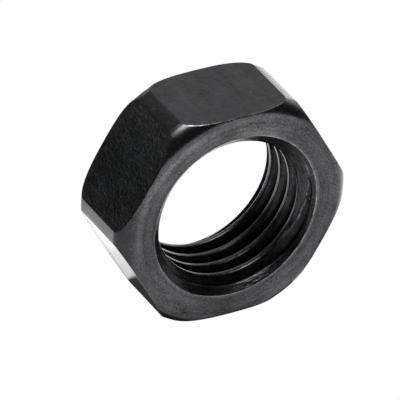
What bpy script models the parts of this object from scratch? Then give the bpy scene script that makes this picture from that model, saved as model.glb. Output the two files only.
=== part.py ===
"""Narrow hex jam nut, 3/8-24 UNF thread, 1/2 in across flats, turned from black-finished hexagon bar.

The nut is one piece of steel. It stands on one wrench flat: the thread axis is Y, the front bearing face
looks along -Y, and +Z comes out of the top wrench flat. The origin is on the thread axis, half-way
through the thickness.
"""

from math import cos, pi, radians, sin, tan

import bmesh
import bpy
from mathutils import Vector

# ---------------------------------------------------------------- driving dimensions, in metres
INCH = 0.0254

ACROSS_FLATS = 0.5 * INCH
THICKNESS = 0.0054              # a 3/8 jam nut is 0.208 to 0.227 in thick
CORNER_DIAMETER = 0.01423       # the bar's six corners are rounded off to this diameter

THREAD_MAJOR = 0.375 * INCH
THREAD_PITCH = INCH / 24
THREAD_MINOR = 0.0085           # class 2B allows 8.38 to 8.64 mm
THREAD_FLANK_ANGLE = radians(30)
CREST_PLACE = -0.00192          # a thread crest passes this Y on the +X side of the bore

FRONT_MOUTH = 0.01004           # diameter of the countersink on the front bearing face
BACK_MOUTH = 0.01028            # the back countersink goes a little deeper
COUNTERSINK_ANGLE = radians(45) # how far the cone leans from the thread axis

WASHER_FACE = 0.0125            # diameter where the flat bearing face starts to curve into the chamfer
CHAMFER_DEPTH = 0.00087         # along the axis, measured at the rounded corners
CHAMFER_POWER = 1.7             # 1 is a straight cone, 2 is a quarter of an ellipse

# ---------------------------------------------------------------- fineness and finish
SEGMENTS = 72                   # around every turned surface and around each turn of the thread
CHAMFER_STEPS = 5
OVERSHOOT = 0.001               # how far the bar and the cutting shapes run past the faces
SMOOTH_ANGLE = radians(25)      # edges flatter than this are shaded smooth

BLACK_OXIDE = (0.060, 0.061, 0.066, 1.0)


def clear_scene():
    """Remove whatever the file starts with."""
    for scene_object in list(bpy.data.objects):
        bpy.data.objects.remove(scene_object, do_unlink=True)


def around_axis(radius, angle, y):
    """A point at this distance from the thread axis, the angle measured from +X towards +Z."""
    return Vector((radius * cos(angle), y, radius * sin(angle)))


def add_object(name, shape):
    """Turn a closed bmesh into an object whose faces all point out."""
    bmesh.ops.recalc_face_normals(shape, faces=shape.faces)
    mesh = bpy.data.meshes.new(name)
    shape.to_mesh(mesh)
    shape.free()
    new_object = bpy.data.objects.new(name, mesh)
    bpy.context.scene.collection.objects.link(new_object)
    return new_object


def add_ring(shape, radius, y, count=SEGMENTS):
    """Evenly spaced vertices on a circle about the thread axis, the first one on the +X side."""
    return [shape.verts.new(around_axis(radius, 2 * pi * i / count, y)) for i in range(count)]


def solid_of_rings(name, profile, count=SEGMENTS):
    """A solid about the thread axis with a ring at each (y, radius) point and a flat face at each end."""
    shape = bmesh.new()
    rings = [add_ring(shape, radius, y, count) for y, radius in profile]
    for one, other in zip(rings, rings[1:]):
        for i in range(count):
            j = (i + 1) % count
            shape.faces.new((one[i], one[j], other[j], other[i]))
    shape.faces.new(rings[0])
    shape.faces.new(rings[-1])
    return add_object(name, shape)


def mirrored(half_profile):
    """The whole profile from its +Y half, which is listed from the middle outwards."""
    return [(-y, radius) for y, radius in reversed(half_profile)] + half_profile


def hexagon_bar():
    """A length of the bar that the nut is cut from, with one flat up and one flat down."""
    corner_radius = ACROSS_FLATS / 2 / cos(pi / 6)
    return solid_of_rings("hex_nut", mirrored([(THICKNESS / 2 + OVERSHOOT, corner_radius)]), count=6)


def turned_outline():
    """Everything inside the bearing faces, the convex chamfers and the rounded corners."""
    start = WASHER_FACE / 2
    reach = CORNER_DIAMETER / 2 - start
    half = []
    for step in range(CHAMFER_STEPS + 1):
        turn = pi / 2 * (1 - step / CHAMFER_STEPS)
        drop = CHAMFER_DEPTH * (1 - cos(turn) ** (2 / CHAMFER_POWER))
        half.append((THICKNESS / 2 - drop, start + reach * sin(turn) ** (2 / CHAMFER_POWER)))
    return solid_of_rings("turned_outline", mirrored(half))


def bore_and_countersinks():
    """The drilled hole, a little inside the thread's crests, opening into a cone at each face."""
    drilled = 0.95 * THREAD_MINOR / 2
    profile = []
    for side, mouth in ((-1, FRONT_MOUTH / 2), (1, BACK_MOUTH / 2)):
        cone_depth = (mouth - drilled) / tan(COUNTERSINK_ANGLE)
        flare = mouth + OVERSHOOT * tan(COUNTERSINK_ANGLE)
        cone = [(side * (THICKNESS / 2 - cone_depth), drilled), (side * (THICKNESS / 2 + OVERSHOOT), flare)]
        profile += cone[::side]
    return solid_of_rings("bore_and_countersinks", profile)


def thread_corners():
    """The corners of one pitch of the thread as (distance along, radius) from the middle of a crest."""
    minor = THREAD_MINOR / 2
    major = THREAD_MAJOR / 2
    flank = (major - minor) * tan(THREAD_FLANK_ANGLE)
    root_flat = THREAD_PITCH / 8
    crest_flat = THREAD_PITCH - root_flat - 2 * flank
    root_start = crest_flat / 2 + flank
    return [
        (crest_flat / 2, minor),
        (root_start, major),
        (root_start + root_flat, major),
        (THREAD_PITCH - crest_flat / 2, minor),
    ]


def close_end(shape, rim, apex_y):
    """Close an open rim with triangles to a point on the thread axis."""
    apex = shape.verts.new((0, apex_y, 0))
    for one, other in zip(rim, rim[1:] + rim[:1]):
        shape.faces.new((one, other, apex))


def thread_tap():
    """A right-hand threaded rod, longer than the nut is thick, that cuts the thread."""
    shape = bmesh.new()
    corners = thread_corners()
    reach = THICKNESS / 2 + OVERSHOOT
    first_turn = int((-reach - CREST_PLACE) // THREAD_PITCH)
    last_turn = int((reach - CREST_PLACE) // THREAD_PITCH) + 1
    rows = []
    for turn in range(first_turn, last_turn + 1):
        rows += [(CREST_PLACE + turn * THREAD_PITCH + along, radius) for along, radius in corners]

    columns = []
    for i in range(SEGMENTS):
        lead = THREAD_PITCH * i / SEGMENTS
        angle = 2 * pi * i / SEGMENTS
        columns.append([shape.verts.new(around_axis(radius, angle, y - lead)) for y, radius in rows])

    for one, other in zip(columns, columns[1:]):
        for k in range(len(rows) - 1):
            shape.faces.new((one[k], one[k + 1], other[k + 1], other[k]))
    # After a whole turn the last column meets the first one, a pitch further on.
    first, last, pitch_rows = columns[0], columns[-1], len(corners)
    for k in range(len(rows) - 1 - pitch_rows):
        shape.faces.new((last[k + pitch_rows], last[k + pitch_rows + 1], first[k + 1], first[k]))

    # Each end's rim is one turn of the thread and then a step of one pitch.
    front_rim = [column[0] for column in columns] + last[1:pitch_rows + 1]
    back_rim = [column[-1] for column in columns] + first[-1 - pitch_rows:-1]
    close_end(shape, front_rim, -reach - 2 * THREAD_PITCH)
    close_end(shape, back_rim, reach + 2 * THREAD_PITCH)
    return add_object("thread_tap", shape)


def cut(body, cutter, operation):
    """Keep or remove what the cutter holds; the cutter itself is only a guide."""
    cutter.hide_render = True
    cutter.display_type = 'WIRE'
    boolean = body.modifiers.new(cutter.name, 'BOOLEAN')
    boolean.object = cutter
    boolean.operation = operation
    boolean.solver = 'EXACT'


def finish_cuts(body):
    """Make the cuts permanent, so that the edges they leave can be marked sharp."""
    depsgraph = bpy.context.evaluated_depsgraph_get()
    body.data = bpy.data.meshes.new_from_object(body.evaluated_get(depsgraph))
    body.modifiers.clear()
    body.data.shade_smooth()
    body.data.set_sharp_from_angle(angle=SMOOTH_ANGLE)


def black_oxide():
    """Oxide-blackened steel with a satin, lightly oiled look."""
    material = bpy.data.materials.new("black_oxide_steel")
    material.use_nodes = True
    surface = material.node_tree.nodes["Principled BSDF"]
    surface.inputs["Base Color"].default_value = BLACK_OXIDE
    surface.inputs["Metallic"].default_value = 1.0
    surface.inputs["Roughness"].default_value = 0.42
    return material


clear_scene()
hex_nut = hexagon_bar()
hex_nut.data.materials.append(black_oxide())
cut(hex_nut, turned_outline(), 'INTERSECT')
cut(hex_nut, bore_and_countersinks(), 'DIFFERENCE')
cut(hex_nut, thread_tap(), 'DIFFERENCE')
finish_cuts(hex_nut)
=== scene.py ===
"""Looks of the 3/8-24 hex jam nut in black-oxide steel: one fine mesh, its finishes and a studio.

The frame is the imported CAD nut: the thread axis is Y, the front bearing face looks along -Y, +Z comes out of
the top wrench flat, and the origin is on the axis half-way through the thickness.
"""

from math import acos, cos, pi, radians, sin, sqrt, tan

import bmesh
import bpy
import numpy as np
from mathutils import Matrix, Vector


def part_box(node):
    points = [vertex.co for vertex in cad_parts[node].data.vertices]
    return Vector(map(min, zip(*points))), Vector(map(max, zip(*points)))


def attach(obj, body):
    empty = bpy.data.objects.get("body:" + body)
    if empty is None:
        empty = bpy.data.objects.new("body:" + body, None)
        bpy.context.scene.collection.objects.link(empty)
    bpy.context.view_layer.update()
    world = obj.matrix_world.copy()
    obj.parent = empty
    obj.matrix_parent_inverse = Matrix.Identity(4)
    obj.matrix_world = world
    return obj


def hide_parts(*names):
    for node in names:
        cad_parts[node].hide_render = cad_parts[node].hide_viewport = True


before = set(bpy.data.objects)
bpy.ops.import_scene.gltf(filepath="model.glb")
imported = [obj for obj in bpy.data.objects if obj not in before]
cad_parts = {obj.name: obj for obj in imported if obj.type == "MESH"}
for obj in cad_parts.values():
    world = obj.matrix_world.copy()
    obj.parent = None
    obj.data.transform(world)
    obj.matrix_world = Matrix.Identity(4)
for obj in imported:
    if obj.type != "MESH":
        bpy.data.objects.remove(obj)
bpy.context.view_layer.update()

# ---------------------------------------------------------------- sizes, in metres
MM = 0.001
MICRON = 1e-6

LOW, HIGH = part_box("hex_nut")
ACROSS_FLATS = HIGH.z - LOW.z
THICKNESS = HIGH.y - LOW.y
CORNER_RADIUS = (HIGH.x - LOW.x) / 2
FLAT_RADIUS = ACROSS_FLATS / 2

THREAD_PITCH = 25.4 / 24 * MM
THREAD_MAJOR_RADIUS = 9.525 / 2 * MM
THREAD_MINOR_RADIUS = 8.5 / 2 * MM
THREAD_FLANK_ANGLE = radians(30)
THREAD_DEPTH = THREAD_MAJOR_RADIUS - THREAD_MINOR_RADIUS
THREAD_CREST_FLAT = THREAD_PITCH * 7 / 8 - 2 * THREAD_DEPTH * tan(THREAD_FLANK_ANGLE)
ROOT_CLEARANCE = 0.06 * MM      # how much deeper than the basic thread the tap cuts
CREST_PLACE = -1.92 * MM        # a thread crest passes this Y on the +X side of the bore

FRONT_MOUTH = 10.04 / 2 * MM    # radii where the 45 degree countersinks meet the bearing faces
BACK_MOUTH = 10.28 / 2 * MM
WASHER_RADIUS = 12.5 / 2 * MM   # where a bearing face starts to curve into the chamfer
CHAMFER_DEPTH = 0.87 * MM
CHAMFER_POWER = 1.7             # 1 is a straight cone, 2 is a quarter of an ellipse

# ---------------------------------------------------------------- edge softness
CHAMFER_EDGE = 0.055 * MM       # half the width of the worn round between chamfer and flat
MOUTH_EDGE = 0.030 * MM         # the same between bearing face and countersink
STRIP_EDGE = 0.006 * MM         # blend between a flat and the rounded corner beside it
CREST_ROUND = 0.18 * MM         # blends along the thread profile, as depths
ROOT_ROUND = 0.04 * MM
COUNTERSINK_ROUND = 0.03 * MM
BURR_WIDTH = 0.04 * MM          # where the countersink cuts the thread
EDGE_END_WEAR = 0.5             # wear at the two ends of a rounded edge, beside 1 along it
CONE_END_WEAR = 0.9             # the same at the countersink's end of its mouth

# ---------------------------------------------------------------- mesh fineness
STRIP_COLUMNS = 4               # on half a rounded corner, on the blend beside it, and on half a flat
BLEND_COLUMNS = 7
FLAT_COLUMNS = 29
BLEND_ANGLE = radians(0.6)      # half the angle that the blend takes up
FACE_ROWS = 5
CHAMFER_ROWS = 20
EDGE_ROWS = 6
FLAT_ROWS = 6
MOUTH_ROWS = 4
ROWS_PER_PITCH = 20
SMALL_TURN = 0.01               # a step back along the chamfer, to find its slope at the side
MERGE_DISTANCE = 1e-7

# ---------------------------------------------------------------- finishes, one material each
TURNED, DRAWN, COUNTERSUNK, TAPPED = range(4)
CHAMFER_LEAN = -0.6             # along a chamfer the radius grows as the distance from mid-thickness falls,
CONE_LEAN = 0.6                 # and along a countersink both grow

BLACK_OXIDE = (0.0570, 0.0570, 0.0595, 1.0)
BLUISH_OXIDE = (0.0580, 0.0575, 0.0650, 1.0)
BARE_STEEL = (0.34, 0.34, 0.345, 1.0)

# The noises that every finish shares, as (features in a millimetre, detail, roughness).
PATINA = (1.4, 4.0, 0.6)
BLOTCH = (0.32, 2.0, 0.5)
GRAIN = (8.5, 2.0, 0.5)
TINT = (0.6, 1.0, 0.5)
WEAR = (2.4, 4.0, 0.65)
SPECKS = (6.0, 0.0, 0.5)

# Levels between which something passes from none to all: of a noise, or of the wear of an edge.
TINT_LEVELS = (0.45, 0.65)
WEAR_LEVELS = (0.38, 0.62)
SPECK_LEVELS = (0.81, 0.87)
RUBBED_LEVELS = (0.3, 1.0)

RUBBED_STEEL = 0.52             # how far bare steel shows through on rubbed edges, and in specks
SPECK_STEEL = 0.32
DARKEST = 0.05                  # the least lightness of the oxide
GLOSS_BY_PATINA = 0.10          # how much each noise adds to the roughness
GLOSS_BY_FINE = 0.08
GLOSS_BY_GRAIN = 0.06

# Lighter and darker patches on the turned faces: (angle in degrees from +X towards +Z, tone).
FACE_PATCHES = (
    (-8, -0.06), (38, -0.24), (70, 0.32), (96, 0.12), (138, 0.33),
    (182, -0.26), (234, 0.03), (268, -0.22), (296, 0.10), (332, -0.20),
)

# Where the finishes change. Angles are about the thread axis, from +X towards +Z, and an edge is the cosine
# of the angle from the middle of a patch to its edge. Lengths are in mm, and a pair of them is where a change
# begins and ends. A tone is the share by which the oxide is lighter there, or darker below 0; some tones are
# painted highlight or painted shade, as marked.
PATCH_EDGE = 0.86
# a paler ring on the upper left of the turned faces
PALE_RING_ANGLE = radians(150)
PALE_RING_EDGE = 0.5
PALE_RING_RADIUS = 5.98
PALE_RING_WIDTH = 0.36
PALE_RING_TONE = 0.75
RIM_HIGHLIGHT_ANGLE = radians(-53)        # the side of the countersink's mouth with a painted highlight; the other side has painted shade
RIM_EDGE = 0.1
RIM_RADII = (5.03, 5.24)
# painted highlight on one side of the countersink's rim, painted shade on the other
RIM_HIGHLIGHT_TONE = 0.50
RIM_SHADE_TONE = -0.40
CHAMFER_RADII = (6.05, 6.7)
CHAMFER_TONE = -0.1
SMOOTH_CHAMFER_RADII = (6.3, 6.8)
SHELTERED_ANGLE = radians(220)  # the side whose edges have kept their oxide
SHELTERED_PLACE = (3.0, 5.0)    # out from the axis in that direction
UPPER_LEFT_ASIDE = (0.37, 0.42)  # aside from the top of the upper left flat: its rounded corner, then flat
UPPER_LEFT_RISE = (5.2, 7.1)    # out towards that corner, where a painted sheen lightens the flat
UPPER_LEFT_STRIP = (7.0, 7.08)  # and where the rounded corner is
# painted sheen on the upper left flat, towards its upper edge
FLAT_EDGE_SHEEN_TONE = 1.0
STRIP_TONE = -0.2
SMOOTH_FLAT_DEPTH = (0.02, 0.10)  # below the lower left flat
SMOOTH_FLAT_BACK = (1.25, 1.65)  # Y near its back edge
SCORED_ANGLE = radians(-75)     # the side of the countersinks with the deepest scores, also lightened by a painted highlight
SCORED_EDGE = 0.8
SCORED_HIGHLIGHT_TONE = 1.1
# painted shade in the thread's roots and a painted highlight on its crests
ROOT_RADII = (4.35, 4.75)
ROOT_SHADE_TONE = -0.3
CREST_RADII = (4.26, 4.33)
CREST_HIGHLIGHT_TONE = 1.8

# ---------------------------------------------------------------- studio
PAPER_HALF_WIDTH = 0.3          # m
PAPER_ALBEDO = 0.45
POOL = (62.0, 42.0)             # middle of the brightly lit paper, in mm
POOL_RADIUS = 85.0
POOL_BRIGHTNESS = 2.0

# The contact shade under the nut, in mm from the middle: where the paper goes from shaded to lit.
SHADE_SIDE = (4.4, 4.8)         # along X, to either side
SHADE_FRONT = (2.35, 2.95)      # along -Y
SHADE_BACK = (3.5, 8.0)         # along +Y
SHADE_CORNER = (6.2, 6.6)       # slantwise across the two back corners, as y + |x|
CORNER_LIGHT = 0.74             # how fully the paper is lit just past those corners
HALF_SHADE_END = 10.5           # y + |x| where it is fully lit
SHADE_LEVEL = 0.05              # the light that is left in the deepest shade

# Soft lights in the room, as unit vectors towards them, with the cosine of the angle to their edge.
ROOM = 0.07                     # brightness between them
CEILING = (-0.070, 0.0, 0.998)  # overhead
CEILING_EDGE = 0.90
CEILING_BRIGHTNESS = 14.0
WINDOW = (0.417, 0.731, 0.540)  # behind the nut on its right
WINDOW_EDGE = 0.5
WINDOW_BRIGHTNESS = 0.62
BACKDROP = (0.939, 0.340, 0.050)  # to its right, low down
BACKDROP_EDGE = 0.82
BACKDROP_BRIGHTNESS = 1.6

VIEW_AZIMUTH = radians(-29.686)  # to the left of straight on
VIEW_ELEVATION = radians(32.685)
VIEW_ROLL = radians(2.69)
VIEW_DISTANCE = 40 * ACROSS_FLATS
AIM_RIGHT = -0.687 * MM         # the camera aims beside the nut's centre, along its own axes
AIM_UP = -0.438 * MM
LENS = 835.5                    # mm, long because the camera stands far away
CLIP_END = 10                   # m


# ================================================================ shape of the nut
def smooth_min(a, b, width):
    """The smaller of two lengths, rounded over the stretch where they differ by less than width."""
    share = np.clip(0.5 + 0.5 * (b - a) / width, 0, 1)
    return b + (a - b) * share - width * share * (1 - share)


def smooth_max(a, b, width):
    """The larger of two lengths, rounded in the same way."""
    return -smooth_min(-a, -b, width)


def column_angles():
    """Angles round the thread axis, closer together where a flat runs into a rounded corner."""
    strip = pi / 6 - acos(FLAT_RADIUS / CORNER_RADIUS)
    before, after = strip - BLEND_ANGLE, strip + BLEND_ANGLE
    half = np.concatenate([
        np.linspace(0, before, STRIP_COLUMNS, endpoint=False),
        np.linspace(before, after, BLEND_COLUMNS, endpoint=False),
        np.linspace(after, pi / 6, FLAT_COLUMNS, endpoint=False),
    ])
    sector = np.concatenate([half, [pi / 6], pi / 3 - half[:0:-1]])
    return np.concatenate([sector + corner * pi / 3 for corner in range(6)])


def hexagon_radius(angle):
    """Distance from the axis to the flat at each angle; corners are at 0, 60, ... degrees."""
    from_flat = np.mod(angle, pi / 3) - pi / 6
    return FLAT_RADIUS / np.cos(from_flat)


def chamfer_point(turn):
    """Radius and drop below the bearing face; turn goes from 0 at the face to a quarter at the corners."""
    reach = CORNER_RADIUS - WASHER_RADIUS
    radius = WASHER_RADIUS + reach * np.sin(turn) ** (2 / CHAMFER_POWER)
    drop = CHAMFER_DEPTH * (1 - np.abs(np.cos(turn)) ** (2 / CHAMFER_POWER))
    return radius, drop


def chamfer_end(side_radius):
    """The turn at which the chamfer reaches the side of the nut."""
    share = np.clip((side_radius - WASHER_RADIUS) / (CORNER_RADIUS - WASHER_RADIUS), 0, 1)
    return np.arcsin(np.clip(share ** (CHAMFER_POWER / 2), 0, 1))


def rounded_corner(before, corner, after, steps):
    """Points on a curve that leaves towards the corner and arrives from it, without its two ends."""
    for step in range(1, steps):
        u = step / steps
        yield tuple((1 - u) ** 2 * b + 2 * u * (1 - u) * c + u ** 2 * a
                    for b, c, a in zip(before, corner, after))


def outer_rows(angles, mouth):
    """Rows of (radius, drop, wear, finish) for half the nut, from the countersink to mid-thickness.

    drop is the depth below the bearing face, and wear how much an edge is rubbed, from 0 to 1.
    """
    one = np.ones_like(angles)
    rows = []

    cone_end = (mouth - MOUTH_EDGE / sqrt(2), MOUTH_EDGE / sqrt(2))
    mouth_start = (mouth + MOUTH_EDGE, 0.0)
    rows.append((cone_end[0] * one, cone_end[1] * one, CONE_END_WEAR * one, COUNTERSUNK))
    for radius, drop in rounded_corner(cone_end, (mouth, 0.0), mouth_start, MOUTH_ROWS):
        rows.append((radius * one, drop * one, one, TURNED))

    for row in range(FACE_ROWS + 1):
        share = 0.5 - 0.5 * cos(pi * row / FACE_ROWS)
        radius = mouth_start[0] + (WASHER_RADIUS - mouth_start[0]) * share
        wear = EDGE_END_WEAR if row == 0 else 0.0
        rows.append((radius * one, 0 * one, wear * one, TURNED))

    side = smooth_min(hexagon_radius(angles), CORNER_RADIUS * one, STRIP_EDGE)
    end = chamfer_end(side)
    corner_radius, corner_drop = chamfer_point(end)
    back_radius, back_drop = chamfer_point(end - SMALL_TURN)
    speed = np.hypot(corner_radius - back_radius, corner_drop - back_drop) / SMALL_TURN
    last_turn = end - CHAMFER_EDGE / speed
    for row in range(1, CHAMFER_ROWS + 1):
        radius, drop = chamfer_point(last_turn * row / CHAMFER_ROWS)
        wear = EDGE_END_WEAR if row == CHAMFER_ROWS else 0.0
        rows.append((radius, drop, wear * one, TURNED))

    before = chamfer_point(last_turn)
    after = (side, corner_drop + CHAMFER_EDGE)
    for radius, drop in rounded_corner(before, (corner_radius, corner_drop), after, EDGE_ROWS):
        rows.append((radius, drop, one, TURNED))
    rows.append((side, after[1], EDGE_END_WEAR * one, DRAWN))

    for row in range(1, FLAT_ROWS + 1):
        share = (row / FLAT_ROWS) ** 2
        rows.append((side, after[1] + (THICKNESS / 2 - after[1]) * share, 0 * one, DRAWN))
    return rows


def thread_radius(along):
    """The tapped hole's radius at a distance from the middle of a crest, along the axis."""
    along = np.abs(np.mod(along + THREAD_PITCH / 2, THREAD_PITCH) - THREAD_PITCH / 2)
    flank = THREAD_MINOR_RADIUS + (along - THREAD_CREST_FLAT / 2) / tan(THREAD_FLANK_ANGLE)
    crested = smooth_max(flank, THREAD_MINOR_RADIUS, CREST_ROUND)
    return smooth_min(crested, THREAD_MAJOR_RADIUS + ROOT_CLEARANCE, ROOT_ROUND)


def bore_grid(angles):
    """Helical rows that follow the thread: arrays of y, radius, wear, and which points are on a cone."""
    limit = THICKNESS / 2 - MOUTH_EDGE / sqrt(2)
    spacing = THREAD_PITCH / ROWS_PER_PITCH
    first = int((-limit - CREST_PLACE) // spacing)
    last = int((limit + THREAD_PITCH - CREST_PLACE) // spacing) + 1
    start = CREST_PLACE + np.arange(first, last + 1)[:, None] * spacing
    lead = THREAD_PITCH * angles[None, :] / (2 * pi)
    y = np.clip(start - lead, -limit, limit)
    cone = np.where(y > 0, BACK_MOUTH, FRONT_MOUTH) - (THICKNESS / 2 - np.abs(y))
    thread = thread_radius(y + lead - CREST_PLACE)
    radius = smooth_max(thread, cone, COUNTERSINK_ROUND)
    wear = np.clip(1 - np.abs(cone - thread) / BURR_WIDTH, 0, 1)
    return y, radius, wear, cone > thread


def around_axis(radius, angle, y):
    """Points at this distance from the thread axis, the angle measured from +X towards +Z."""
    return np.stack([radius * np.cos(angle), y + 0 * angle, radius * np.sin(angle)], axis=-1)


def build_nut():
    """The nut as one closed mesh: a front and a back shell joined by the tapped hole."""
    angles = column_angles()
    count = len(angles)
    columns = np.arange(count)
    next_columns = np.roll(columns, -1)
    points, wears, faces, finishes = [], [], [], []

    def add_row(row_points, wear):
        points.append(row_points)
        wears.append(wear)
        return count * (len(points) - 1)

    def add_faces(corners, finish):
        faces.append(np.stack(corners, axis=-1))
        finishes.append(np.broadcast_to(finish, count))

    for side, mouth in ((-1, FRONT_MOUTH), (1, BACK_MOUTH)):
        outer = outer_rows(angles, mouth)
        starts = []
        for radius, drop, wear, _ in outer:
            starts.append(add_row(around_axis(radius, angles, side * (THICKNESS / 2 - drop)), wear))
        for one, other, (_, _, _, finish) in zip(starts, starts[1:], outer[1:]):
            quad = [one + columns, other + columns, other + next_columns, one + next_columns]
            add_faces(quad[::-side], finish)

    y, radius, wear, on_cone = bore_grid(angles)
    starts = [add_row(around_axis(radius[k], angles, y[k]), wear[k]) for k in range(len(y))]
    for row in range(len(y) - 1):
        one = starts[row] + columns
        other = starts[row + 1] + columns
        # Past the last column the thread has gone a whole turn, so a row goes on as the one a pitch lower.
        one_next = np.append(one[1:], starts[max(row - ROWS_PER_PITCH, 0)])
        other_next = np.append(other[1:], starts[max(row + 1 - ROWS_PER_PITCH, 0)])
        add_faces([one, other, other_next, one_next], np.where(on_cone[row], COUNTERSUNK, TAPPED))

    mesh = bpy.data.meshes.new("nut_body")
    mesh.from_pydata(np.concatenate(points).tolist(), [], np.concatenate(faces).tolist())
    attribute = mesh.attributes.new("edge_wear", 'FLOAT', 'POINT')
    attribute.data.foreach_set("value", np.concatenate(wears).astype(np.float32))
    mesh.polygons.foreach_set("material_index", np.concatenate(finishes).astype(np.int32))
    weld(mesh)
    mesh.shade_smooth()
    nut = bpy.data.objects.new("nut_body", mesh)
    bpy.context.scene.collection.objects.link(nut)
    return nut


def weld(mesh):
    """Join the shells and the bore where their points coincide."""
    shape = bmesh.new()
    shape.from_mesh(mesh)
    bmesh.ops.remove_doubles(shape, verts=shape.verts, dist=MERGE_DISTANCE)
    bmesh.ops.recalc_face_normals(shape, faces=shape.faces)
    shape.to_mesh(mesh)
    shape.free()


# ================================================================ shader nodes
def add_node(tree, kind, **settings):
    """A shader node; a setting named like an input socket fills or links it, others are the node's own."""
    node = tree.nodes.new(kind)
    for name, value in settings.items():
        socket = node.inputs.get(name.replace("_", " "))
        if socket is None:
            setattr(node, name, value)
        else:
            fill(tree, socket, value)
    return node


def fill(tree, socket, value):
    """Link another node's output to a socket, or set the socket itself."""
    if isinstance(value, bpy.types.NodeSocket):
        tree.links.new(value, socket)
    else:
        socket.default_value = value


def calculate(tree, operation, *values):
    """The result of a Math node."""
    node = tree.nodes.new("ShaderNodeMath")
    node.operation = operation
    for socket, value in zip(node.inputs, values):
        fill(tree, socket, value)
    return node.outputs[0]


def weighted_sum(tree, *terms):
    """The sum of (weight, value) pairs."""
    total = 0.0
    for weight, value in terms:
        total = calculate(tree, 'MULTIPLY_ADD', value, weight, total)
    return total


def noise(tree, place, scale, detail=2.0, roughness=0.5):
    """Soft noise of mean 0.5 at a place, with scale features in each unit."""
    return add_node(tree, "ShaderNodeTexNoise", Vector=place, Scale=scale, Detail=detail,
                    Roughness=roughness).outputs[0]


def remap(tree, value, low, high):
    """A share that is 0 below low and 1 above high, smooth in between."""
    node = add_node(tree, "ShaderNodeMapRange", interpolation_type='SMOOTHSTEP', Value=value)
    node.inputs["From Min"].default_value = low
    node.inputs["From Max"].default_value = high
    return node.outputs[0]


def opposite(tree, share):
    """What is left of 1."""
    return calculate(tree, 'SUBTRACT', 1.0, share)


def blend_colour(tree, share, one, other):
    """A colour between two, each a socket or a colour."""
    node = add_node(tree, "ShaderNodeMix", data_type='RGBA')
    factor, colour_a, colour_b = node.inputs[0], node.inputs[6], node.inputs[7]
    for socket, value in ((factor, share), (colour_a, one), (colour_b, other)):
        fill(tree, socket, value)
    return node.outputs[2]


def place_in_mm(tree):
    """The point on the object, in millimetres."""
    place = add_node(tree, "ShaderNodeTexCoord").outputs["Object"]
    return add_node(tree, "ShaderNodeVectorMath", operation='SCALE', Vector=place, Scale=1 / MM).outputs[0]


def split(tree, place):
    """The x, y and z of a place."""
    return add_node(tree, "ShaderNodeSeparateXYZ", Vector=place).outputs


def polar(tree, place):
    """Distance from the thread axis, and the x and z of the unit vector away from it."""
    x, _, z = split(tree, place)
    radius = calculate(tree, 'SQRT', weighted_sum(tree, (x, x), (z, z)))
    return radius, calculate(tree, 'DIVIDE', x, radius), calculate(tree, 'DIVIDE', z, radius)


def towards(tree, place, angle, edge):
    """1 where a point lies at this angle about the axis, falling to 0 where the cosine between is edge."""
    _, away_x, away_z = polar(tree, place)
    return remap(tree, weighted_sum(tree, (cos(angle), away_x), (sin(angle), away_z)), edge, 1.0)


def lathe_place(tree, place, around, across, lean=CHAMFER_LEAN):
    """A place whose noise is drawn out round the thread axis, as a lathe tool or a tap leaves it.

    around is how many features there are in a radian, and across how many in a millimetre of the profile.
    lean is how much the distance from mid-thickness counts beside the radius along that profile.
    """
    y = split(tree, place)[1]
    radius, away_x, away_z = polar(tree, place)
    profile = weighted_sum(tree, (1.0, radius), (lean, calculate(tree, 'ABSOLUTE', y)))
    return add_node(tree, "ShaderNodeCombineXYZ", X=calculate(tree, 'MULTIPLY', away_x, around),
                    Y=calculate(tree, 'MULTIPLY', profile, across),
                    Z=calculate(tree, 'MULTIPLY', away_z, around)).outputs[0]


def stretched_place(tree, place, factors):
    """The place with each axis scaled, so that its noise is drawn out along the axes with small factors."""
    return add_node(tree, "ShaderNodeMapping", Vector=place, Scale=factors).outputs[0]


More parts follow.
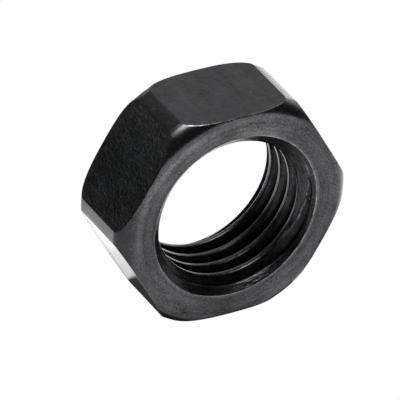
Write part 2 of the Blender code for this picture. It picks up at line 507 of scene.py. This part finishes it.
# ================================================================ finishes
def oxide_steel(name, marks_of, tone, contrast, roughness, relief, tone_of, calm_of, calm=(0, 0, 0)):
    """Black oxide over steel: patina, tool marks, worn edges and specks.

    marks_of gives the tool's fine and broad marks, and tone_of the extra lightness at a place. contrast
    weighs fine, broad, patina, blotch and grain in the colour, and relief is the height of fine, broad and
    grain in microns. calm_of is 1 where the surface is smoother, and calm is how much of the contrast,
    roughness and relief is lost there.
    """
    material = bpy.data.materials.new(name)
    material.use_nodes = True
    tree = material.node_tree
    surface = tree.nodes["Principled BSDF"]
    surface.inputs["Metallic"].default_value = 1.0
    place = place_in_mm(tree)
    fine, broad = marks_of(tree, place)
    patina = noise(tree, place, *PATINA)
    blotch = noise(tree, place, *BLOTCH)
    grain = noise(tree, place, *GRAIN)

    calmness = calm_of(tree, place)
    kept = [calculate(tree, 'MULTIPLY_ADD', calmness, -share, 1.0) for share in calm]

    variation = weighted_sum(tree, *zip(contrast, (fine, broad, patina, blotch, grain)))
    variation = calculate(tree, 'SUBTRACT', variation, 0.5 * sum(contrast))
    shade = calculate(tree, 'MULTIPLY_ADD', variation, kept[0], tone)
    shade = calculate(tree, 'MULTIPLY', shade, calculate(tree, 'ADD', tone_of(tree, place), 1.0))
    shade = calculate(tree, 'MAXIMUM', shade, DARKEST)
    tint = remap(tree, noise(tree, place, *TINT), *TINT_LEVELS)
    oxide = blend_colour(tree, tint, BLACK_OXIDE, BLUISH_OXIDE)
    oxide = add_node(tree, "ShaderNodeVectorMath", operation='SCALE', Vector=oxide, Scale=shade).outputs[0]
    fill(tree, surface.inputs["Base Color"], blend_colour(tree, bare_share(tree, place), oxide, BARE_STEEL))

    gloss = weighted_sum(tree, (GLOSS_BY_PATINA, patina), (GLOSS_BY_FINE, fine), (GLOSS_BY_GRAIN, grain))
    mean_gloss = 0.5 * (GLOSS_BY_PATINA + GLOSS_BY_FINE + GLOSS_BY_GRAIN)
    gloss = calculate(tree, 'ADD', gloss, roughness - mean_gloss)
    gloss = calculate(tree, 'MULTIPLY', gloss, kept[1])
    height = weighted_sum(tree, *zip(relief, (fine, broad, grain)))
    height = calculate(tree, 'MULTIPLY', height, kept[2])
    fill(tree, surface.inputs["Roughness"], gloss)
    bump = add_node(tree, "ShaderNodeBump", Strength=1.0, Distance=MICRON, Height=height)
    fill(tree, surface.inputs["Normal"], bump.outputs[0])
    return material


def bare_share(tree, place):
    """How far bare steel shows through: on worn edges, in patches, and in small specks anywhere."""
    edge = add_node(tree, "ShaderNodeAttribute", attribute_name="edge_wear").outputs["Fac"]
    patchy = remap(tree, noise(tree, place, *WEAR), *WEAR_LEVELS)
    rubbed = calculate(tree, 'MULTIPLY', remap(tree, edge, *RUBBED_LEVELS), patchy)
    rubbed = calculate(tree, 'MULTIPLY', rubbed, opposite(tree, sheltered(tree, place)))
    specks = remap(tree, noise(tree, place, *SPECKS), *SPECK_LEVELS)
    return calculate(tree, 'MAXIMUM', calculate(tree, 'MULTIPLY', rubbed, RUBBED_STEEL),
                     calculate(tree, 'MULTIPLY', specks, SPECK_STEEL))


def sheltered(tree, place):
    """1 along the nut's lower left, where its edges have kept their oxide."""
    x, _, z = split(tree, place)
    outwards = weighted_sum(tree, (cos(SHELTERED_ANGLE), x), (sin(SHELTERED_ANGLE), z))
    return remap(tree, outwards, *SHELTERED_PLACE)


def face_tone(tree, place):
    """Tone of the turned faces: light and dark patches, a paler ring, painted highlight and shade on the rim.
    """
    radius = polar(tree, place)[0]
    terms = [(tone, towards(tree, place, radians(angle), PATCH_EDGE)) for angle, tone in FACE_PATCHES]

    off_ring = calculate(tree, 'ABSOLUTE', calculate(tree, 'SUBTRACT', radius, PALE_RING_RADIUS))
    ring = opposite(tree, remap(tree, off_ring, 0.0, PALE_RING_WIDTH))
    ring = calculate(tree, 'MULTIPLY', ring, towards(tree, place, PALE_RING_ANGLE, PALE_RING_EDGE))
    terms.append((PALE_RING_TONE, ring))

    # painted highlight on one side of the countersink's rim, painted shade on the other
    rim = opposite(tree, remap(tree, radius, *RIM_RADII))
    highlight_side = opposite(tree, towards(tree, place, RIM_HIGHLIGHT_ANGLE + pi, RIM_EDGE))
    rim_highlight_and_shade = calculate(tree, 'MULTIPLY_ADD', highlight_side, RIM_HIGHLIGHT_TONE - RIM_SHADE_TONE, RIM_SHADE_TONE)
    terms.append((rim_highlight_and_shade, rim))
    terms.append((CHAMFER_TONE, remap(tree, radius, *CHAMFER_RADII)))
    return weighted_sum(tree, *terms)


def flat_tone(tree, place):
    """Tone of the drawn flats: a painted sheen lightens the upper left one towards its upper edge.

    Its upper corner lies 120 degrees from +X: one length runs out to the corner, the other aside from it.
    """
    x, _, z = split(tree, place)
    to_corner = weighted_sum(tree, (-cos(pi / 3), x), (sin(pi / 3), z))
    aside = weighted_sum(tree, (-sin(pi / 3), x), (-cos(pi / 3), z))
    on_flat = remap(tree, aside, *UPPER_LEFT_ASIDE)
    # painted sheen towards the upper edge of the upper left flat
    edge_sheen = calculate(tree, 'MULTIPLY', remap(tree, to_corner, *UPPER_LEFT_RISE), on_flat)
    on_strip = remap(tree, to_corner, *UPPER_LEFT_STRIP)
    on_strip = calculate(tree, 'MULTIPLY', on_strip, opposite(tree, on_flat))
    return weighted_sum(tree, (FLAT_EDGE_SHEEN_TONE, edge_sheen), (STRIP_TONE, on_strip))


def chamfer_calm(tree, place):
    """1 out on the chamfer, which was cut more smoothly than the bearing face."""
    return remap(tree, polar(tree, place)[0], *SMOOTH_CHAMFER_RADII)


def flat_calm(tree, place):
    """1 on the lower left flat, which is smoother than the others, apart from its back edge."""
    x, y, z = split(tree, place)
    outwards = weighted_sum(tree, (-cos(pi / 6), x), (-sin(pi / 6), z))
    least, most = SMOOTH_FLAT_DEPTH
    on_flat = remap(tree, outwards, FLAT_RADIUS / MM - most, FLAT_RADIUS / MM - least)
    return calculate(tree, 'MULTIPLY', on_flat, opposite(tree, remap(tree, y, *SMOOTH_FLAT_BACK)))


def bore_tone(tree, place):
    """Tone of the thread: painted shade darkens its roots, a painted highlight lightens its crests."""
    radius = polar(tree, place)[0]
    # painted highlight on the crests, painted shade in the roots
    crest = opposite(tree, remap(tree, radius, *CREST_RADII))
    return weighted_sum(tree, (ROOT_SHADE_TONE, remap(tree, radius, *ROOT_RADII)), (CREST_HIGHLIGHT_TONE, crest))


def cone_tone(tree, place):
    """Tone of the countersinks: a painted highlight lightens the scored side."""
    return calculate(tree, 'MULTIPLY', opposite(tree, cone_calm(tree, place)), SCORED_HIGHLIGHT_TONE)


def cone_calm(tree, place):
    """0 on the side of the countersinks that is deeply scored."""
    return opposite(tree, towards(tree, place, SCORED_ANGLE, SCORED_EDGE))


def nowhere(tree, place):
    """Calm nowhere, for a surface that is the same all over."""
    return 0.0


def lathe_marks(tree, place):
    """Fine concentric scores, and the broader bands they gather in."""
    fine = noise(tree, lathe_place(tree, place, around=9.0, across=12.0), 1.0, detail=2.0, roughness=0.6)
    broad = noise(tree, lathe_place(tree, place, around=1.6, across=2.6), 1.0, detail=1.0)
    return fine, broad


def cutter_marks(tree, place):
    """The clear scores of the countersink's cutting edges."""
    fine_place = lathe_place(tree, place, around=7.0, across=8.0, lean=CONE_LEAN)
    broad_place = lathe_place(tree, place, around=2.5, across=2.0, lean=CONE_LEAN)
    fine = noise(tree, fine_place, 1.0, detail=2.0, roughness=0.6)
    broad = noise(tree, broad_place, 1.0, detail=1.0)
    return fine, broad


def drawing_marks(tree, place):
    """The mottle on the bar's drawn flats, and broader bands along the bar."""
    fine_place = stretched_place(tree, place, factors=(1.1, 1.0, 1.1))
    broad_place = stretched_place(tree, place, factors=(1.0, 0.5, 1.0))
    fine = noise(tree, fine_place, scale=5.2, detail=3.0, roughness=0.6)
    broad = noise(tree, broad_place, scale=1.3, detail=2.0)
    return fine, broad


def tap_marks(tree, place):
    """Scores that the tap leaves round the thread, torn across here and there."""
    fine = noise(tree, lathe_place(tree, place, around=14.0, across=12.0), 1.0, detail=3.0, roughness=0.6)
    broad = noise(tree, lathe_place(tree, place, around=4.0, across=3.0), 1.0, detail=1.0)
    return fine, broad


def turned_oxide():
    """Bearing faces and chamfers: light and dark patches, painted highlight and shade on the rim."""
    return oxide_steel("turned_oxide", lathe_marks, tone=0.94, contrast=(0.7, 1.2, 1.0, 0.2, 1.9),
                       roughness=0.24, relief=(3.0, 4.0, 1.5), tone_of=face_tone,
                       calm_of=chamfer_calm, calm=(0.6, 0.0, 0.4))


def drawn_oxide():
    """The wrench flats and rounded corners, as the bar was drawn."""
    return oxide_steel("drawn_oxide", drawing_marks, tone=1.06, contrast=(0.9, 0.5, 0.8, 0.5, 0.5),
                       roughness=0.20, relief=(13.0, 13.0, 4.0), tone_of=flat_tone,
                       calm_of=flat_calm, calm=(0.0, 0.6, 0.5))


def countersunk_oxide():
    """The two countersinks, darker than the faces."""
    return oxide_steel("countersunk_oxide", cutter_marks, tone=0.52, contrast=(1.4, 0.6, 0.6, 0.2, 0.5),
                       roughness=0.30, relief=(30.0, 4.0, 6.0), tone_of=cone_tone,
                       calm_of=cone_calm, calm=(0.0, 0.0, 0.6))


def tapped_oxide():
    """The thread, darkest in its roots under painted shade, with a painted highlight on its crests."""
    return oxide_steel("tapped_oxide", tap_marks, tone=0.42, contrast=(0.9, 0.4, 0.5, 0.2, 0.5),
                       roughness=0.30, relief=(4.0, 3.0, 3.0), tone_of=bore_tone, calm_of=nowhere)


# ================================================================ studio
def glow(tree, brightness):
    """White light of this brightness."""
    return add_node(tree, "ShaderNodeEmission", Color=(1, 1, 1, 1), Strength=brightness).outputs[0]


def mix_shaders(tree, share, one, other):
    """One shader where share is 0, the other where it is 1."""
    node = tree.nodes.new("ShaderNodeMixShader")
    for socket, value in zip(node.inputs, (share, one, other)):
        fill(tree, socket, value)
    return node.outputs[0]


def add_floor():
    """White paper under the lowest flat; it photographs pure white, and the steel mirrors it as it is lit."""
    half = PAPER_HALF_WIDTH
    corners = [(x, y, LOW.z) for x, y in ((-half, -half), (half, -half), (half, half), (-half, half))]
    mesh = bpy.data.meshes.new("floor")
    mesh.from_pydata(corners, [], [(0, 1, 2, 3)])
    floor = bpy.data.objects.new("floor", mesh)
    bpy.context.scene.collection.objects.link(floor)

    material = bpy.data.materials.new("white_paper")
    material.use_nodes = True
    tree = material.node_tree
    tree.nodes.clear()
    place = place_in_mm(tree)
    lit = outside_contact(tree, place)
    grey = calculate(tree, 'MULTIPLY', lit, PAPER_ALBEDO)
    paper = add_node(tree, "ShaderNodeAddShader")
    fill(tree, paper.inputs[0], add_node(tree, "ShaderNodeBsdfDiffuse", Color=grey).outputs[0])
    fill(tree, paper.inputs[1], glow(tree, calculate(tree, 'MULTIPLY', lit, pool_of_light(tree, place))))
    seen = add_node(tree, "ShaderNodeLightPath").outputs["Is Camera Ray"]
    surface = mix_shaders(tree, seen, paper.outputs[0], glow(tree, 1.0))
    add_node(tree, "ShaderNodeOutputMaterial", Surface=surface)
    mesh.materials.append(material)


def pool_of_light(tree, place):
    """How brightly the paper glows of itself: a soft pool of light behind the nut on its right."""
    x, y, _ = split(tree, place)
    from_pool_x = calculate(tree, 'SUBTRACT', x, POOL[0])
    from_pool_y = calculate(tree, 'SUBTRACT', y, POOL[1])
    squares = weighted_sum(tree, (from_pool_x, from_pool_x), (from_pool_y, from_pool_y))
    pool = calculate(tree, 'EXPONENT', calculate(tree, 'DIVIDE', squares, -POOL_RADIUS ** 2))
    return calculate(tree, 'MULTIPLY', pool, POOL_BRIGHTNESS)


def outside_contact(tree, place):
    """Low in the shade close round the flat that the nut stands on, 1 outside it."""
    x, y, _ = split(tree, place)
    across = calculate(tree, 'ABSOLUTE', x)
    slantwise = calculate(tree, 'ADD', y, across)
    edges = [
        remap(tree, across, *SHADE_SIDE),
        remap(tree, calculate(tree, 'MULTIPLY', y, -1.0), *SHADE_FRONT),
        remap(tree, y, *SHADE_BACK),
        calculate(tree, 'MULTIPLY', remap(tree, slantwise, *SHADE_CORNER), CORNER_LIGHT),
        remap(tree, slantwise, SHADE_CORNER[0], HALF_SHADE_END),
    ]
    outside = SHADE_LEVEL
    for edge in edges:
        outside = calculate(tree, 'MAXIMUM', outside, edge)
    return outside


def lobe(tree, direction, middle, edge, brightness):
    """A round patch of light in the room, from full brightness at its middle to none at its edge."""
    facing = add_node(tree, "ShaderNodeVectorMath", operation='DOT_PRODUCT')
    fill(tree, facing.inputs[0], direction)
    facing.inputs[1].default_value = middle
    return calculate(tree, 'MULTIPLY', remap(tree, facing.outputs["Value"], edge, 1.0), brightness)


def add_world():
    """A dim room for the steel to mirror, and white for the camera."""
    world = bpy.data.worlds.new("studio")
    world.use_nodes = True
    tree = world.node_tree
    tree.nodes.clear()
    seen = add_node(tree, "ShaderNodeLightPath").outputs["Is Camera Ray"]
    direction = add_node(tree, "ShaderNodeTexCoord").outputs["Generated"]
    window = lobe(tree, direction, WINDOW, WINDOW_EDGE, WINDOW_BRIGHTNESS)
    backdrop = lobe(tree, direction, BACKDROP, BACKDROP_EDGE, BACKDROP_BRIGHTNESS)
    ceiling = lobe(tree, direction, CEILING, CEILING_EDGE, CEILING_BRIGHTNESS)
    brightness = weighted_sum(tree, (1.0, window), (1.0, backdrop), (1.0, ceiling), (ROOM, 1.0))
    room = add_node(tree, "ShaderNodeBackground", Color=(1, 1, 1, 1), Strength=brightness).outputs[0]
    white = add_node(tree, "ShaderNodeBackground", Color=(1, 1, 1, 1)).outputs[0]
    add_node(tree, "ShaderNodeOutputWorld", Surface=mix_shaders(tree, seen, room, white))
    bpy.context.scene.world = world


def add_camera():
    """The camera at the photo's viewing angle, with its slight roll."""
    across = cos(VIEW_ELEVATION)
    back = Vector((sin(VIEW_AZIMUTH) * across, -cos(VIEW_AZIMUTH) * across, sin(VIEW_ELEVATION)))
    level = Vector((cos(VIEW_AZIMUTH), sin(VIEW_AZIMUTH), 0))
    upright = back.cross(level)
    right = level * cos(VIEW_ROLL) + upright * sin(VIEW_ROLL)
    up = back.cross(right)
    place = back * VIEW_DISTANCE + right * AIM_RIGHT + up * AIM_UP
    camera = bpy.data.objects.new("camera", bpy.data.cameras.new("camera"))
    camera.data.lens = LENS
    camera.data.clip_end = CLIP_END
    camera.matrix_world = Matrix.Translation(place) @ Matrix((right, up, back)).transposed().to_4x4()
    bpy.context.scene.collection.objects.link(camera)
    bpy.context.scene.camera = camera


# ================================================================ the scene
nut = build_nut()
for finish in (turned_oxide(), drawn_oxide(), countersunk_oxide(), tapped_oxide()):
    nut.data.materials.append(finish)
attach(nut, "root")
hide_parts("hex_nut")
add_floor()
add_world()
add_camera()
bpy.context.scene.view_settings.view_transform = 'Standard'
